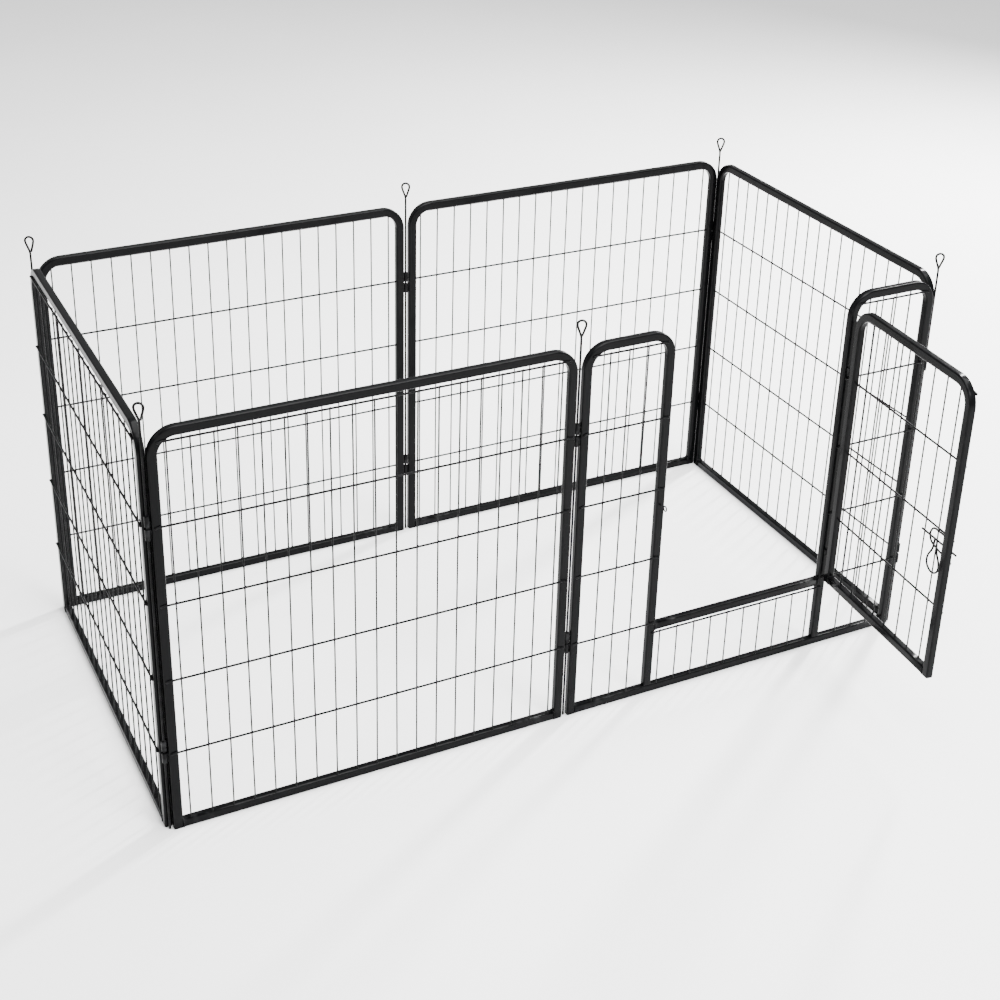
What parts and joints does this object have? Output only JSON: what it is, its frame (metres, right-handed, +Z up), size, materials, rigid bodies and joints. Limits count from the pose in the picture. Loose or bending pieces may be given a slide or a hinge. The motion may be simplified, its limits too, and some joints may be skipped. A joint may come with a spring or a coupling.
{
  "type": "pet playpen",
  "caption": "Folding pet playpen: hoop-topped steel tube panels with welded wire grids, joined by drop-in hinge pins, with a bolted swing door.",
  "frame": {"origin": "on the floor, under the middle of the part's box with the door standing open", "axes": "+X along the two-panel sides, +Y from the door side to the far side, +Z up"},
  "size_m": [1.6504, 1.2084, 0.8417],
  "materials": {
    "tube_paint": "satin black powder coat on square tube",
    "wire_paint": "satin black powder coat on drawn wire",
    "pin_paint": "black coated steel rod, rubbed where it slides in the eyes"
  },
  "bodies": {
    "left_panel": {"left_hoop": "tube_paint", "left_bottom_rail": "tube_paint", "left_wire_grid": "wire_paint", "left_first_eye_low": "tube_paint", "left_first_eye_high": "tube_paint", "left_second_eye_low": "tube_paint", "left_second_eye_high": "tube_paint"},
    "front_left_panel": {"front_left_hoop": "tube_paint", "front_left_bottom_rail": "tube_paint", "front_left_wire_grid": "wire_paint", "front_left_first_eye_low": "tube_paint", "front_left_first_eye_high": "tube_paint", "front_left_second_eye_low": "tube_paint", "front_left_second_eye_high": "tube_paint"},
    "door_panel": {"left_tower_hoop": "tube_paint", "left_tower_wire_grid": "wire_paint", "right_tower_hoop": "tube_paint", "right_tower_wire_grid": "wire_paint", "sill_rail": "tube_paint", "door_panel_bottom_rail": "tube_paint", "sill_wire_grid": "wire_paint", "door_panel_first_eye_low": "tube_paint", "door_panel_first_eye_high": "tube_paint", "door_panel_second_eye_low": "tube_paint", "door_panel_second_eye_high": "tube_paint", "catch_ring": "wire_paint", "door_knuckle_low": "tube_paint", "door_knuckle_high": "tube_paint"},
    "door": {"door_hoop": "tube_paint", "door_bottom_rail": "tube_paint", "door_wire_grid": "wire_paint", "latch_guide": "wire_paint"},
    "latch_bolt": {"latch_bolt": "wire_paint"},
    "right_panel": {"right_hoop": "tube_paint", "right_bottom_rail": "tube_paint", "right_wire_grid": "wire_paint", "right_first_eye_low": "tube_paint", "right_first_eye_high": "tube_paint", "right_second_eye_low": "tube_paint", "right_second_eye_high": "tube_paint"},
    "back_right_panel": {"back_right_hoop": "tube_paint", "back_right_bottom_rail": "tube_paint", "back_right_wire_grid": "wire_paint", "back_right_first_eye_low": "tube_paint", "back_right_first_eye_high": "tube_paint", "back_right_second_eye_low": "tube_paint", "back_right_second_eye_high": "tube_paint"},
    "back_left_panel": {"back_left_hoop": "tube_paint", "back_left_bottom_rail": "tube_paint", "back_left_wire_grid": "wire_paint", "back_left_first_eye_low": "tube_paint", "back_left_first_eye_high": "tube_paint", "back_left_second_eye_low": "tube_paint", "back_left_second_eye_high": "tube_paint"},
    "front_left_corner_pin": {"front_left_corner_pin": "pin_paint"},
    "front_middle_pin": {"front_middle_pin": "pin_paint"},
    "front_right_corner_pin": {"front_right_corner_pin": "pin_paint"},
    "back_right_corner_pin": {"back_right_corner_pin": "pin_paint"},
    "back_middle_pin": {"back_middle_pin": "pin_paint"},
    "back_left_corner_pin": {"back_left_corner_pin": "pin_paint"}
  },
  "joints": [
    {"name": "front_left_corner_fold", "type": "hinge", "parent": "left_panel", "child": "front_left_panel", "pos_m": [-0.81466, -0.20619, 0], "axis": [0, 0, 1], "range_deg": [-47, 3]},
    {"name": "front_middle_fold", "type": "hinge", "parent": "front_left_panel", "child": "door_panel", "pos_m": [-0.01466, -0.20619, 0], "axis": [0, 0, 1], "range_deg": [-6, 94]},
    {"name": "back_left_corner_fold", "type": "hinge", "parent": "left_panel", "child": "back_left_panel", "pos_m": [-0.78534, 0.59327, 0], "axis": [0, 0, 1], "range_deg": [-3, 47]},
    {"name": "back_middle_fold", "type": "hinge", "parent": "back_left_panel", "child": "back_right_panel", "pos_m": [0.01466, 0.59327, 0], "axis": [0, 0, 1], "range_deg": [-94, 6]},
    {"name": "back_right_corner_fold", "type": "hinge", "parent": "back_right_panel", "child": "right_panel", "pos_m": [0.81466, 0.59327, 0], "axis": [0, 0, 1], "range_deg": [-3, 47]},
    {"name": "door_swing", "type": "hinge", "parent": "door_panel", "child": "door", "pos_m": [0.58534, -0.21774, 0], "axis": [0, 0, 1], "range_deg": [-83.8, 36]},
    {"name": "bolt_slide", "type": "slide", "parent": "door", "child": "latch_bolt", "axis": [-0.108, -0.9942, 0], "range_m": [-0.005, 0.036]},
    {"name": "front_left_corner_pin_lift", "type": "slide", "parent": "left_panel", "child": "front_left_corner_pin", "axis": [0, 0, 1], "range_m": [0, 0.86]},
    {"name": "front_middle_pin_lift", "type": "slide", "parent": "front_left_panel", "child": "front_middle_pin", "axis": [0, 0, 1], "range_m": [0, 0.86]},
    {"name": "front_right_corner_pin_lift", "type": "slide", "parent": "right_panel", "child": "front_right_corner_pin", "axis": [0, 0, 1], "range_m": [0, 0.86]},
    {"name": "back_right_corner_pin_lift", "type": "slide", "parent": "right_panel", "child": "back_right_corner_pin", "axis": [0, 0, 1], "range_m": [0, 0.86]},
    {"name": "back_middle_pin_lift", "type": "slide", "parent": "back_left_panel", "child": "back_middle_pin", "axis": [0, 0, 1], "range_m": [0, 0.86]},
    {"name": "back_left_corner_pin_lift", "type": "slide", "parent": "left_panel", "child": "back_left_corner_pin", "axis": [0, 0, 1], "range_m": [0, 0.86]}
  ],
  "couplings": [
    {"joint": "front_middle_fold", "follows": "front_left_corner_fold", "ratio": -2},
    {"joint": "back_left_corner_fold", "follows": "front_left_corner_fold", "ratio": -1},
    {"joint": "back_middle_fold", "follows": "front_left_corner_fold", "ratio": 2},
    {"joint": "back_right_corner_fold", "follows": "front_left_corner_fold", "ratio": -1}
  ]
}
